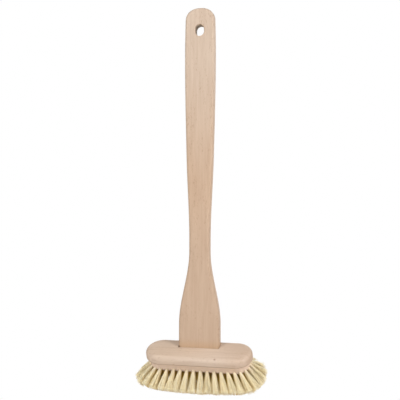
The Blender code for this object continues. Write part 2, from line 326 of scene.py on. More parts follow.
# the left side, the arch and the right side as (x, z), with outward normals
def handleOutline():
    h = handleSizes
    archBase = h["endAboveHole"] - h["archHeight"]
    steps = round((archBase - handleBottom) / h["step"])
    heights = [handleBottom + (archBase - handleBottom) * i / steps for i in range(steps)]
    half = [(-handleWidth(z) / 2, z) for z in heights]
    power = 2 / h["archSquareness"]
    for i in range(h["archSteps"]):
        turn = quarterTurn * (1 - i / h["archSteps"])
        z = h["endAboveHole"] - h["archHeight"] * (1 - math.cos(turn) ** power)
        half.append((-handleWidth(z) / 2 * math.sin(turn) ** power, z))
    points = half + [(0.0, h["endAboveHole"])] + [(-x, z) for x, z in reversed(half)]
    last = len(points) - 1
    normals = []
    for i in range(len(points)):
        (x0, z0), (x1, z1) = points[max(i - 1, 0)], points[min(i + 1, last)]
        normals.append(Vector((z0 - z1, x1 - x0)).normalized())
    return points, normals


def newPiece(name, verts, faces, material):
    mesh = bpy.data.meshes.new(name)
    mesh.from_pydata([tuple(v) for v in verts], [], faces)
    mesh.update()
    mesh.materials.append(material)
    piece = bpy.data.objects.new(name, mesh)
    bpy.context.scene.collection.objects.link(piece)
    return piece


def ringQuads(first, second, count):
    return [
        (first + i, first + (i + 1) % count, second + (i + 1) % count, second + i)
        for i in range(count)
    ]


# a closed solid through rings of equal length, from the lowest to the highest
def stackRings(rings):
    count = len(rings[0])
    verts = [v for ring in rings for v in ring]
    faces = [tuple(reversed(range(count)))]
    for k in range(len(rings) - 1):
        faces += ringQuads(k * count, (k + 1) * count, count)
    faces.append(tuple(range(len(verts) - count, len(verts))))
    return verts, faces


# cuts each cutter out of the piece, removes the cutters and keeps broad faces flat
def cutAndSmooth(piece, cutters, sharpDegrees):
    for cutter in cutters:
        cut = piece.modifiers.new("cut", "BOOLEAN")
        cut.operation = "DIFFERENCE"
        cut.solver = "EXACT"
        cut.object = cutter
    bpy.context.view_layer.update()
    shaped = piece.evaluated_get(bpy.context.evaluated_depsgraph_get())
    mesh = bpy.data.meshes.new_from_object(shaped)
    piece.modifiers.clear()
    mesh.name = piece.name
    piece.data = mesh
    for cutter in cutters:
        bpy.data.objects.remove(cutter, do_unlink=True)
    mesh.shade_smooth()
    mesh.set_sharp_from_angle(angle=math.radians(sharpDegrees))
    even = piece.modifiers.new("evenNormals", "WEIGHTED_NORMAL")
    even.keep_sharp = True


def makeHandle(material):
    h = handleSizes
    points, normals = handleOutline()
    count = len(points)
    rounding = [(h["edgeRadius"] + h["faceInset"], 0.0)]
    for k in range(h["edgeSteps"] + 1):
        turn = quarterTurn * k / h["edgeSteps"]
        inset = h["edgeRadius"] * (1 - math.sin(turn))
        rounding.append((inset, h["edgeRadius"] * (1 - math.cos(turn))))
    rings = [(inset, depth, -1) for inset, depth in rounding]
    rings += [(inset, depth, 1) for inset, depth in reversed(rounding)]
    verts = []
    for inset, depth, side in rings:
        for (x, z), normal in zip(points, normals):
            if z <= handleBottom:
                normal = Vector((math.copysign(1, x), 0))
            px, pz = x - normal.x * inset, z - normal.y * inset
            verts.append((px, side * (handleThickness(pz) / 2 - depth), pz))
    faces = []
    for k in range(len(rings) - 1):
        a, b = k * count, (k + 1) * count
        faces += [(a + i, a + i + 1, b + i + 1, b + i) for i in range(count - 1)]
    starts = [k * count for k in range(len(rings))]
    faces.append(tuple(starts) + tuple(s + count - 1 for s in reversed(starts)))
    for base, flip in ((0, True), ((len(rings) - 1) * count, False)):
        for i in range(count // 2):
            a, b = base + i, base + count - 1 - i
            strip = (a, a + 1, b - 1, b) if a + 1 < b - 1 else (a, a + 1, b)
            faces.append(tuple(reversed(strip)) if flip else strip)
    handle = newPiece("handle_beech", verts, faces, material)
    cutAndSmooth(handle, [holeCutter(material)], h["sharpAngle"])
    return handle


# a form along Y, a little taller than wide, whose ends flare into the eased rims
def holeCutter(material):
    h = handleSizes
    face = h["gripThickness"] / 2
    profile = [(h["holeRadius"] + h["holeEase"], face + h["cutterBeyond"])]
    for k in range(h["edgeSteps"] + 1):
        turn = quarterTurn * k / h["edgeSteps"]
        radius = h["holeRadius"] + h["holeEase"] * (1 - math.sin(turn))
        profile.append((radius, face - h["holeEase"] * (1 - math.cos(turn))))
    profile += [(radius, -y) for radius, y in reversed(profile)]
    rings = []
    for radius, y in profile:
        ring = []
        for end in (1, -1):
            for i in range(h["holeSteps"] + 1):
                turn = math.pi * i / h["holeSteps"]
                z = end * (h["holeStretch"] / 2 + radius * math.sin(turn))
                ring.append((end * radius * math.cos(turn), y, z))
        rings.append(ring)
    return newPiece("holeCutter", *stackRings(rings), material)


# Head. Its own frame has the middle of the flat top at the origin.

headSizes = {
    "lean": math.radians(24.0),
    "length": 0.1194,
    "width": 0.0364,
    "upperHeight": 0.0114,
    "topEdge": 0.0048,
    "crown": 0.0008,            # the top rises by this towards its middle line
    "crownLift": 0.0003,        # of it above the solid's flat top
    "shoulder": 0.0022,
    "bandInset": 0.0038,
    "bandHeight": 0.0055,
    "lowerEdge": 0.0065,
    "faceInset": 0.001,         # the flat underside begins this far inside the rounding
    "filletHeight": 0.0006,     # a small fillet between the band and the shoulder
    "filletOut": 0.0002,
    "filletGap": 0.0001,
    "socketFromMiddle": 0.001,
    "socketCorner": 0.001,
    "glueGap": 0.0003,
    "tuftHoleRadius": 0.0019,
    "tuftHoleDepth": 0.005,
    "endSteps": 40,             # round each end
    "curveSteps": 9,            # round each edge
    "crownSteps": 8,            # from the edge in to the middle of the top
    "socketSteps": 6,           # round each corner of the socket
    "tuftHoleSides": 20,
    "sharpAngle": 40,
}
headHeight = headSizes["upperHeight"] + headSizes["bandHeight"] + headSizes["lowerEdge"]
headPlace = Vector((
    0,
    -handleSizes["footThickness"] / 2
    - headSizes["socketFromMiddle"] * math.cos(headSizes["lean"]),
    -handleSizes["reach"] - headSizes["socketFromMiddle"] * math.sin(headSizes["lean"]),
))
headMatrix = Matrix.Translation(headPlace) @ Matrix.Rotation(headSizes["lean"], 4, "X")


def stadiumRing(radius, z):
    straight = headSizes["length"] / 2 - headSizes["width"] / 2
    steps = headSizes["endSteps"]
    ring = []
    for end in (1, -1):
        for i in range(steps + 1):
            turn = -quarterTurn + math.pi * i / steps
            x = end * (straight + radius * math.cos(turn))
            ring.append((x, end * radius * math.sin(turn), z))
    return ring


# (radius, height) from the flat underside up to the flat top
def headProfile():
    h = headSizes
    full = h["width"] / 2
    band = full - h["bandInset"]
    steps = h["curveSteps"]
    quarter = [quarterTurn * k / steps for k in range(steps + 1)]
    profile = [(band - h["lowerEdge"] - h["faceInset"], -headHeight)]
    for turn in quarter:
        radius = band - h["lowerEdge"] * (1 - math.sin(turn))
        profile.append((radius, -headHeight + h["lowerEdge"] * (1 - math.cos(turn))))
    profile.append((band, -h["upperHeight"] - h["filletHeight"]))
    profile.append((band + h["filletOut"], -h["upperHeight"] - h["filletGap"]))
    for turn in quarter:
        radius = full - h["shoulder"] * (1 - math.sin(turn))
        profile.append((radius, -h["upperHeight"] + h["shoulder"] * (1 - math.cos(turn))))
    flat = full - h["topEdge"]
    tilt = 0.1                  # a guess, which the loop brings to the crown's own slope
    for _ in range(6):
        tilt = math.atan(2 * h["crown"] * (flat + h["topEdge"] * math.sin(tilt)) / flat**2)
    joint = flat + h["topEdge"] * math.sin(tilt)
    crownHeight = h["crownLift"] - h["crown"] * (joint / flat) ** 2
    for k in range(steps + 1):
        turn = quarterTurn + (tilt - quarterTurn) * k / steps
        drop = h["topEdge"] * (math.cos(tilt) - math.cos(turn))
        profile.append((flat + h["topEdge"] * math.sin(turn), crownHeight - drop))
    for k in range(1, h["crownSteps"]):
        radius = joint * (1 - k / h["crownSteps"])
        profile.append((radius, h["crownLift"] - h["crown"] * (radius / flat) ** 2))
    return profile


# corners of a rectangle about the handle's axis, each rounded
def roundedRectangle(halfX, halfY, radius, steps):
    points = []
    for quarter, (sx, sy) in enumerate(((1, 1), (-1, 1), (-1, -1), (1, -1))):
        for i in range(steps + 1):
            turn = quarterTurn * (quarter + i / steps)
            x = sx * (halfX - radius) + radius * math.cos(turn)
            points.append((x, sy * (halfY - radius) + radius * math.sin(turn)))
    return points


def socketOutline(steps):
    gap = headSizes["glueGap"]
    return roundedRectangle(
        handleSizes["footWidth"] / 2 + gap,
        handleSizes["footThickness"] / 2 + gap,
        headSizes["socketCorner"],
        steps,
    )


def makeHead(material, seats):
    rings = [stadiumRing(radius, z) for radius, z in headProfile()]
    head = newPiece("head_beech", *stackRings(rings), material)
    head.matrix_world = headMatrix
    low = handleBottom - headSizes["glueGap"]
    high = -handleSizes["reach"] + headSizes["width"]
    outline = socketOutline(headSizes["socketSteps"])
    rings = [[(x, y, z) for x, y in outline] for z in (low, high)]
    socket = newPiece("socketCutter", *stackRings(rings), material)
    cutAndSmooth(head, [socket, tuftHoleCutter(seats, material)], headSizes["sharpAngle"])
    return head


def tuftHoleCutter(seats, material):
    sides = headSizes["tuftHoleSides"]
    verts, faces = [], []
    radius, depth = headSizes["tuftHoleRadius"], headSizes["tuftHoleDepth"]
    for seat in seats.values():
        rings = []
        for along in (-depth, depth):
            ring = []
            for i in range(sides):
                a = fullTurn * i / sides
                across = seat["side"] * math.cos(a) + seat["up"] * math.sin(a)
                ring.append(seat["mouth"] + seat["axis"] * along + across * radius)
            rings.append(ring)
        moreVerts, moreFaces = stackRings(rings)
        faces += [tuple(i + len(verts) for i in face) for face in moreFaces]
        verts += moreVerts
    return newPiece("tuftHoleCutter", verts, faces, material)


# The glue that fills the slit round the handle's foot. It is nearly level with the
# head's top, except in a pit at the left front corner. A pair holds where the pit's
# slope begins, to that side, and over how much it runs.

glueSizes = {
    "steps": 8,                 # round each corner
    "deep": 0.005,              # from the head's top down to the glue's lower end
    "sunk": 0.00035,
    "pitDepth": 0.0034,
    "pitLeft": (0.0180, 0.002),
    "pitFront": (0.0025, 0.002),
    "sharpAngle": 50,
}


def makeGlue(material):
    g = glueSizes
    outer = socketOutline(g["steps"])
    inner = roundedRectangle(
        handleSizes["footWidth"] / 2,
        handleSizes["footThickness"] / 2,
        handleSizes["edgeRadius"],
        g["steps"],
    )
    slope = math.tan(headSizes["lean"])

    def sunk(x, y):
        pit = rise(-x, *g["pitLeft"]) * rise(-y, *g["pitFront"])
        return g["sunk"] + g["pitDepth"] * pit

    verts = []
    for outline, isTop in ((inner, False), (outer, False), (outer, True), (inner, True)):
        for x, y in outline:
            down = sunk(x, y) if isTop else g["deep"]
            verts.append((x, y, headPlace.z + (y - headPlace.y) * slope - down))
    count = len(outer)
    faces = []
    for k in range(4):
        faces += ringQuads(k * count, (k + 1) % 4 * count, count)
    glue = newPiece("socket_glue", verts, faces, material)
    glue.data.shade_smooth()
    glue.data.set_sharp_from_angle(angle=math.radians(g["sharpAngle"]))
    return glue


# Tufts. Each one's seat is read from its solid: the two lowest rings of its root.

solidTuft = {
    "rootSides": 8,
    "rimPoints": 29,            # the root's rim and the feet of its strands
    "tipPoints": 21,            # seven strands of three sides
    "guessFrom": (0.72, 0.5),   # the shares of its x and y that its axis roughly comes from
    "uprightBelow": 0.05,       # a tuft this near to straight down takes its side from x
    "sink": 0.0004,             # the root below the mouth of its hole
}


def readSeat(name):
    s = solidTuft
    places = {tuple(round(c, 6) for c in v.co) for v in cadNodes[name].data.vertices}
    points = [Vector(p) for p in sorted(places)]
    centre = sum(points, Vector()) / len(points)
    inHead = headMatrix.inverted() @ centre
    shareX, shareY = s["guessFrom"]
    start = headMatrix @ Vector((inHead.x * shareX, inHead.y * shareY, -headHeight / 2))
    axis = (centre - start).normalized()
    rimEnd = s["rootSides"] + s["rimPoints"]
    for _ in range(3):          # each round sorts the points along a better axis
        points.sort(key=lambda p: (p - centre).dot(axis))
        foot = sum(points[:s["rootSides"]], Vector()) / s["rootSides"]
        rim = sum(points[s["rootSides"]:rimEnd], Vector()) / s["rimPoints"]
        axis = (rim - foot).normalized()
    tips = [(p - rim).dot(axis) for p in points[-s["tipPoints"]:]]
    side = axis.cross(headMatrix.to_3x3() @ Vector((0, 0, 1)))
    if side.length < s["uprightBelow"]:
        side = axis.cross(Vector((1, 0, 0)))
    side.normalize()
    return {
        "axis": axis,
        "mouth": rim + axis * s["sink"],
        "length": sum(tips) / len(tips) - s["sink"],
        "side": side,
        "up": side.cross(axis).normalized(),
    }


# The ring's tips are trimmed to one smooth surface, which runs from tuft to tuft, and the
# inner rows to one flat level. So a fibre's length changes with its place in the tuft.
def trimSlopes(seats):
    ring = sorted(name for name in seats if name.startswith("ring"))
    tips = [seats[name]["mouth"] + seats[name]["axis"] * seats[name]["length"] for name in ring]
    for i, name in enumerate(ring):
        seat = seats[name]
        along = tips[(i + 1) % len(ring)] - tips[i - 1]
        seat["slope"] = (along.dot(seat["axis"]) / along.dot(seat["side"]), 0.0)
    down = headMatrix.to_3x3() @ Vector((0, 0, -1))
    for name, seat in seats.items():
        if name not in ring:
            fall = seat["axis"].dot(down)
            seat["slope"] = (-seat["side"].dot(down) / fall, -seat["up"].dot(down) / fall)


# Use has bent the tufts. In the head's own frame x runs to its right end and y to its
# back. A pair holds where a soft climb from 0 to 1 begins and over how much it runs.

bends = {
    "droop": 0.0034,            # the left end's tufts hang down by this at their tips
    "droopLeft": (0.040, 0.012),
    "droopBack": (-0.017, 0.008),
    "backDroop": 0.7,           # and the back ones among them by this share more
    "backDroopBack": (0.002, 0.008),
    "tuck": 0.0020,             # and these lean in by this
    "tuckLeft": (0.046, 0.006),
    "tuckBack": (-0.002, 0.004),
    "splay": 0.36,              # of its length, how far an inner row's last tuft leans out
    "lastInner": 0.045,         # and how far from the middle it stands
    "comb": 0.0020,             # the front tufts' tips lean to the right by this at the middle
    "combRise": 0.09,           # and by this more for each metre to the left, up to combEnd
    "combEnd": 0.034,
    "combFront": (-0.004, 0.010),
    "cornerOut": (0.038, 0.010),
    "cornerIn": 0.0045,         # the front corners' tips lean in by this
    "cornerDown": 0.0050,       # and the right one's hang by this
    "cornerDownBack": (-0.014, 0.008),
    "cornerBack": (-0.005, 0.009),  # the y where the left and the right corner end
    "cornerFull": 0.013,        # and how far in front of the middle they are bent in full
    "single": {                 # single tufts that lean besides: right, back, up
        "ring_tuft_14": (0.0004, 0.0, 0.0010),
        "ring_tuft_15": (-0.0018, 0.0, -0.0018),
        "ring_tuft_16": (-0.0018, 0.0, -0.0056),
        "ring_tuft_17": (0.0014, 0.0, -0.0036),
        "ring_tuft_18": (0.0036, 0.0, -0.0022),
        "ring_tuft_19": (0.0040, 0.0, -0.0012),
        "ring_tuft_28": (-0.0006, 0.0, -0.0008),
        "ring_tuft_29": (-0.0014, 0.0, -0.0022),
        "ring_tuft_30": (-0.0022, 0.0, -0.0044),
        "ring_tuft_31": (-0.0012, 0.0, -0.0050),
        "ring_tuft_32": (0.0, 0.0, -0.0015),
    },
}


# the inner rows' tufts lean out towards the ends, the last ones most
def splayLean(inHead, length):
    splay = bends["splay"] * min(abs(inHead.x) / bends["lastInner"], 1) * length
    return Vector((math.copysign(splay, inHead.x), 0, 0))


# how far use has pushed the ring's tips from the line of their holes
def ringLean(inHead):
    b = bends
    x, y = inHead.x, inHead.y
    nearEnd = rise(abs(x), *b["cornerOut"])
    front = rise(-y, *b["combFront"]) * (1 - nearEnd)
    comb = (b["comb"] - b["combRise"] * min(max(x, -b["combEnd"]), b["combEnd"])) * front
    back = b["cornerBack"][x > 0]
    corner = nearEnd * rise(-y, -back, back + b["cornerFull"])
    tuck = b["tuck"] * rise(-x, *b["tuckLeft"]) * rise(y, *b["tuckBack"])
    down = b["cornerDown"] * corner * rise(y, *b["cornerDownBack"]) * (x > 0)
    return Vector((comb + tuck - math.copysign(b["cornerIn"] * corner, x), 0, -down))


# and how far they hang at the left end
def tipDroop(inHead):
    b = bends
    x, y = inHead.x, inHead.y
    droop = b["droop"] * rise(-x, *b["droopLeft"]) * rise(y, *b["droopBack"])
    return droop * (1 + b["backDroop"] * rise(y, *b["backDroopBack"]))


fibre = {
    "seed": 11,
    "perTuft": 140,
    "rootThickness": 0.00032,
    "tipThickness": 0.00028,
    "sides": 4,
    "joints": 8,
    "inHole": 0.0022,           # how far a fibre is modelled down its hole
    "rootRadius": 0.00155,
    "tipRadius": 0.0049,
    "endTipRadius": 0.0048,
    "towardEnd": (0.036, 0.014),    # where that radius begins, and over how much
    "innerTipRadius": 0.0062,
    "innerSwell": 0.55,         # the inner tufts widen sooner than the ring's
    "packing": 0.52,            # 0.5 would spread the fibres evenly
    "squareness": 3.2,          # of a tuft's spread at its tips: 2 is round
    "towardNext": 1.06,         # and how much wider it is towards its neighbours
    "tipJitter": 0.00035,
    "wave": 0.00025,
    "waves": 1.1,               # in a fibre's length
    "trimSpread": 0.008,        # of the length
    "strayShare": 0.06,
    "strayReach": 0.0018,
    "tuftTurn": 0.024,          # how far a whole tuft may lean off its hole
    "tuftSpread": 0.07,         # of the tip's radius
}

# Painted shade: how dark a fibre's place among the tufts makes it, 0 to 1. Pairs are as in
# bends.
fibrePaintedShade = {
    "middleX": 0.6,             # the middle of the tufts, as a share of a tuft's own x
    "middleBelow": 0.02,        # and below the head
    "innerSide": (-0.22, 0.8),  # darker on the side towards the middle
    "endLight": (0.3, 0.75),    # less so for the left and the right end's tufts
    "endOut": (0.044, 0.008),
    "innerTips": 0.45,          # and less so by this towards the tips
    "between": 0.70,            # darker next to another tuft
    "betweenFrom": (0.55, 0.4),     # of the tuft's radius
    "betweenRun": (0.5, 0.4),   # the share of it at the root, and what the tips have more
    "rowTips": 0.7,             # the inner rows are dark but for this much at the tips
    "rowTipsFrom": (0.4, 0.6),
}


def makeTuft(name, seat, material, rng):
    f, d = fibre, fibrePaintedShade
    verts, faces, runs, shades, paintedShades = [], [], [], [], []
    golden = math.pi * (3 - math.sqrt(5))
    startTurn = rng.uniform(0, fullTurn)
    inHead = headMatrix.inverted() @ seat["mouth"]
    isRing = name.startswith("ring")
    tipRadius = f["innerTipRadius"]
    if isRing:
        nearEnd = rise(abs(inHead.x), *f["towardEnd"])
        tipRadius = f["tipRadius"] + (f["endTipRadius"] - f["tipRadius"]) * nearEnd
    tipRadius *= 1 + rng.uniform(-1, 1) * f["tuftSpread"]
    droop = tipDroop(inHead)
    aside = ringLean(inHead) if isRing else splayLean(inHead, seat["length"])
    aside += Vector(bends["single"].get(name.removesuffix("_fibres"), (0, 0, 0)))
    shaded = 1 - d["endLight"][inHead.x > 0] * rise(abs(inHead.x), *d["endOut"])
    middleOfTufts = Vector((inHead.x * d["middleX"], 0, -headHeight - d["middleBelow"]))
    inward = headMatrix @ middleOfTufts - seat["mouth"]
    inward -= seat["axis"] * inward.dot(seat["axis"])
    inward.normalize()
    lean = [rng.gauss(0, f["tuftTurn"]) * seat["length"] for _ in range(2)]
    sides = f["sides"]
    corners = [fullTurn * i / sides for i in range(sides)]
    power = f["squareness"]
    for k in range(f["perTuft"]):
        reach = ((k + 0.5) / f["perTuft"]) ** f["packing"]
        turn = startTurn + golden * k
        spot = (reach * math.cos(turn), reach * math.sin(turn))
        roundness = abs(math.cos(turn)) ** power + abs(math.sin(turn)) ** power
        spread = tipRadius * roundness ** (-1 / power)
        widths = (spread * f["towardNext"], spread)
        tip = [
            part * width + off + rng.gauss(0, f["tipJitter"])
            for part, width, off in zip(spot, widths, lean)
        ]
        if rng.random() < f["strayShare"]:
            tip = [t + rng.uniform(-1, 1) * f["strayReach"] for t in tip]
        length = seat["length"] * (1 + rng.uniform(-1, 1) * f["trimSpread"])
        length += (tip[0] - lean[0]) * seat["slope"][0] + (tip[1] - lean[1]) * seat["slope"][1]
        wave = rng.gauss(0, 1) * f["wave"]
        waveTurn = rng.uniform(0, fullTurn)
        wavePhase = rng.uniform(0, fullTurn)
        shade = rng.random()
        # painted shade: darker on the side towards the middle of the tufts and next to another
        # tuft
        towardMiddle = (seat["side"] * spot[0] + seat["up"] * spot[1]).dot(inward)
        innerSide = rise(towardMiddle, *d["innerSide"])
        between = d["between"] * rise(abs(spot[0]), *d["betweenFrom"])
        first = len(verts)
        for j in range(f["joints"]):
            share = j / (f["joints"] - 1)
            along = -f["inHole"] + (length + f["inHole"]) * share
            out = max(along, 0.0) / length
            bow = wave * math.sin(fullTurn * out * f["waves"] + wavePhase) * out
            wide = out if isRing else out ** f["innerSwell"]
            x = spot[0] * f["rootRadius"] * (1 - wide) + tip[0] * wide + bow * math.cos(waveTurn)
            y = spot[1] * f["rootRadius"] * (1 - wide) + tip[1] * wide + bow * math.sin(waveTurn)
            thick = f["rootThickness"] + (f["tipThickness"] - f["rootThickness"]) * out
            middle = seat["mouth"] + seat["axis"] * along + seat["side"] * x + seat["up"] * y
            middle.z -= droop * out * out
            middle += aside * out
            # the painted shade of the fibre at this joint
            if isRing:
                fromMiddle = innerSide * shaded * (1 - d["innerTips"] * out)
                atRoot, moreAtTips = d["betweenRun"]
                depth = max(fromMiddle, between * (atRoot + moreAtTips * out))
            else:
                depth = 1 - d["rowTips"] * rise(out, *d["rowTipsFrom"])
            for corner in corners:
                angle = corner + turn
                across = seat["side"] * math.cos(angle) + seat["up"] * math.sin(angle)
                verts.append(middle + across * (thick / 2))
                runs.append(out)
                shades.append(shade)
                paintedShades.append(depth)
            if j:
                faces += ringQuads(len(verts) - 2 * sides, len(verts) - sides, sides)
        faces.append(tuple(reversed(range(first, first + sides))))
        faces.append(tuple(range(len(verts) - sides, len(verts))))
    tuft = newPiece(name, verts, faces, material)
    tuft.data.shade_smooth()
    made = (("fibreRun", runs), ("fibreShade", shades), ("fibrePaintedShade", paintedShades))
    for attribute, values in made:
        layer = tuft.data.attributes.new(attribute, "FLOAT", "POINT")
        layer.data.foreach_set("value", values)
    return tuft


# A strength is the share of a tone that is mixed in where it is full.
fibreLook = {
    "pale": tone(255, 248, 222),
    "straw": tone(255, 232, 168),
    "strawBy": (0.5, 0.4, 0.5),     # by chance, by a slow cloud and by painted shade
    "strawLess": 0.2,
    "cloudScale": 420.0,
    # painted highlight: the fibres are paler towards their roots, where the light falls on the
    # tops of the tufts
    "root": tone(255, 240, 216),
    "rootHighlightStrength": 0.7,
    "rootTo": 0.4,                  # of the length
    "dull": tone(216, 190, 132),
    "dullFrom": (0.91, 0.96),       # so about one fibre in fifteen
    "shadow": tone(186, 146, 24),   # painted shadow deep between the tufts
    "shadowStrength": 0.9,
    "roughness": 0.45,
    "roughnessSpread": 0.15,
    "gloss": 0.4,
    "diffuseRoughness": 0.3,
}


def makeFibreMaterial():
    f = fibreLook
    material, tree, shader = newMaterial("plantFibre")
    start = Wire(tree)
    run, shade, depth = (
        start.node("Attribute", {"attribute_name": attribute}, out="Fac")
        for attribute in ("fibreRun", "fibreShade", "fibrePaintedShade")
    )
    place = start.node("TexCoord", out="Object")
    cloud = start.node(
        "TexNoise", inputs={"Vector": place, "Scale": f["cloudScale"], "Detail": 2.0}
    )
    byChance, byCloud, byPaintedShade = f["strawBy"]
    straw = shade * byChance + cloud * byCloud + depth * byPaintedShade - f["strawLess"]
    colour = straw.blendOf(f["pale"], f["straw"])
    colour = shade.between(*f["dullFrom"]).blendOf(colour, f["dull"])
    # painted highlight towards the roots
    atRoot = 1 - run.between(0.0, f["rootTo"])
    colour = (atRoot * f["rootHighlightStrength"]).blendOf(colour, f["root"])
    # painted shadow between the tufts
    colour = (depth * f["shadowStrength"]).blendOf(colour, f["shadow"])
    rough = f["roughness"] + shade * f["roughnessSpread"]
    tree.links.new(colour.socket, shader.inputs["Base Color"])
    tree.links.new(rough.socket, shader.inputs["Roughness"])
    shader.inputs["Specular IOR Level"].default_value = f["gloss"]
    shader.inputs["Diffuse Roughness"].default_value = f["diffuseRoughness"]
    return material


glueLook = {
    "pale": tone(196, 164, 132),
    "deep": tone(176, 144, 112),
    "deepFrom": (0.3, 0.7),
    # painted shade in the glue's pit at the left front corner
    "pit": tone(92, 66, 40),
    "pitShadeStrength": 0.9,
    "pitShadeRight": (-0.0215, -0.0190),     # the x from full depth of that tone to none
    "pitShadeBack": (-0.0040, -0.0025),      # and the y
    "lumpScale": 900.0,
    "bumpStrength": 0.5,
    "bumpHeight": 0.0001,
    "roughness": 0.4,
}


def makeGlueMaterial():
    g = glueLook
    material, tree, shader = newMaterial("driedGlue")
    start = Wire(tree)
    place = start.node("TexCoord", out="Object")
    lump = start.node(
        "TexNoise", inputs={"Vector": place, "Scale": g["lumpScale"], "Detail": 2.0}
    )
    colour = lump.between(*g["deepFrom"]).blendOf(g["pale"], g["deep"])
    x, y = (start.node("SeparateXYZ", inputs={0: place}, out=axis) for axis in (0, 1))
    # painted shade in the pit
    pit = (1 - x.between(*g["pitShadeRight"])) * (1 - y.between(*g["pitShadeBack"]))
    colour = (pit * g["pitShadeStrength"]).blendOf(colour, g["pit"])
    bump = start.node(
        "Bump",
        inputs={"Strength": g["bumpStrength"], "Distance": g["bumpHeight"], "Height": lump},
    )
    tree.links.new(colour.socket, shader.inputs["Base Color"])
    tree.links.new(bump.socket, shader.inputs["Normal"])
    shader.inputs["Roughness"].default_value = g["roughness"]
    return material


# The handle is paler towards its hanging end and deeper at its foot. A pair holds
# how far below the hang hole a tone begins and where it is full.

handleWood = {
    "pith": (-0.052, 0.058),        # the trunk's middle, across and in depth
    "pale": tone(202, 182, 163),
    "deep": tone(195, 166, 140),
    "deepFrom": (0.02, 0.18),
    "deepBy": (0.85, 0.15),         # by that place and by the wood's patches
    "dark": tone(152, 119, 92),
    "foot": tone(193, 166, 142),
    "footFrom": (0.19, 0.26),
    "footEnd": tone(193, 160, 128),   # darker and warmer over the lowest few millimetres
    "footEndFrom": (0.340, 0.350),
    "footEndStrength": 0.8,
}


def handleFade(grain, patch):
    w = handleWood
    below = grain * -1
    byPlace, byPatch = w["deepBy"]
    deep = below.between(*w["deepFrom"]) * byPlace + patch * byPatch
    upper = deep.blendOf(w["pale"], w["deep"])
    lower = below.between(*w["footFrom"]).blendOf(upper, w["foot"])
    return (below.between(*w["footEndFrom"]) * w["footEndStrength"]).blendOf(lower, w["footEnd"])


# Small round spots with a ragged edge.

spotShape = {
    "fade": (0.6, 1.7),         # full inside the first share of the radius, gone past the second
    "raggedBy": 0.0006,
    "raggedScale": 900.0,
}


def addSpots(start, place, colour, spots):
    s = spotShape
    for spot in spots:
        away = start.node("VectorMath", {"operation": "SUBTRACT"}, {0: place, 1: spot["place"]})
        far = start.node("VectorMath", {"operation": "LENGTH"}, {0: away}, out="Value")
        wobble = start.node(
            "TexNoise", inputs={"Vector": place, "Scale": s["raggedScale"], "Detail": 1.0}
        )
        ends = (spot["radius"] * share for share in s["fade"])
        inside = 1 - (far + wobble * s["raggedBy"]).between(*ends)
        colour = (inside * spot["strength"]).blendOf(colour, spot["tone"])
    return colour


# The handle's marks: painted shade on the wall of the hang hole, and a painted shadow by the
# glue's pit.

handleMarks = {
    "bore": tone(96, 72, 8),            # painted shade on the wall deep inside
    "boreRim": tone(168, 142, 116),     # and towards the two faces
    # the distances from the hole's middle between which the first turns into the second
    "boreDark": (0.0012, 0.0044),
    "boreStrength": 0.9,
    "boreShift": (0.0004, 0.0005),      # that shade lies a little to the right and up
    "boreFade": 0.0007,                 # and fades over this much of the eased rim
    "spots": [
        # a painted shadow at the foot's left front corner, by the glue's pit
        {
            "place": (-0.0218, -0.0053, -0.3500),   # the foot's left front corner
            "radius": 0.0013,
            "tone": tone(84, 60, 40),
            "strength": 0.65,
        },
    ],
}


def markHandle(start, place, colour):
    h = handleMarks
    x, y, z = (start.node("SeparateXYZ", inputs={0: place}, out=axis) for axis in range(3))
    x = x - h["boreShift"][0]
    z = z - h["boreShift"][1]
    beyond = (z * z) ** 0.5 - handleSizes["holeStretch"] / 2
    beyond = start.node("Math", {"operation": "MAXIMUM"}, {0: beyond, 1: 0.0})
    fromAxis = (x * x + beyond * beyond) ** 0.5
    radius = handleSizes["holeRadius"]
    # painted shade on the hang hole's wall
    wall = 1 - fromAxis.between(radius, radius + h["boreFade"])
    inside = ((y * y) ** 0.5).between(*h["boreDark"]).blendOf(h["bore"], h["boreRim"])
    colour = (wall * h["boreStrength"]).blendOf(colour, inside)
    return addSpots(start, place, colour, h["spots"])


headWood = {
    "pith": (0.060, -0.055),
    "pale": tone(213, 192, 173),
    "deep": tone(207, 184, 162),
    "dark": tone(164, 132, 107),
}

# The head's marks: a fleck, painted shadows, painted shade and a painted light band. A pair
# holds the coordinates that a tone fades between.
headMarks = {
    "spots": [
        {
            "place": (0.0218, -0.0165, -0.0012),    # a fleck on the front edge
            "radius": 0.0012,
            "tone": tone(146, 112, 90),
            "strength": 0.7,
        },
        # a painted shadow on the head's top beside the pit in the glue
        {
            "place": (-0.0221, 0.0012, 0.0),        # beside the pit in the glue
            "radius": 0.0010,
            "tone": tone(84, 60, 40),
            "strength": 0.65,
        },
    ],
    "rightTone": tone(165, 120, 80),    # towards the right end
    "rightFade": (0.012, 0.052),
    "rightStrength": 0.16,
    "paintedShadeTone": tone(160, 128, 106),  # painted shade: the shaded line along the shoulder
    "crease": -0.0112,
    "creaseHalf": (0.0009, 0.0020),     # how far from it the tone is full, and where it ends
    "creaseStrength": 0.55,
    "frontTop": -0.003,                 # the same painted shade down the front, from here to the crease
    "frontStrength": 0.16,
    "backFade": (0.004, 0.019),         # and painted shade towards the back edge
    "backStrength": 0.12,
    "bandPaintedLight": tone(237, 209, 185),    # painted light: the band below the shoulder made paler
    "bandFade": (-0.0135, -0.0120),
    "bandStrength": 0.6,
    "underShadeTone": tone(140, 104, 50),    # painted shade among the tufts
    "underFade": (-0.0222, -0.0192),
    "underStrength": 0.75,
}


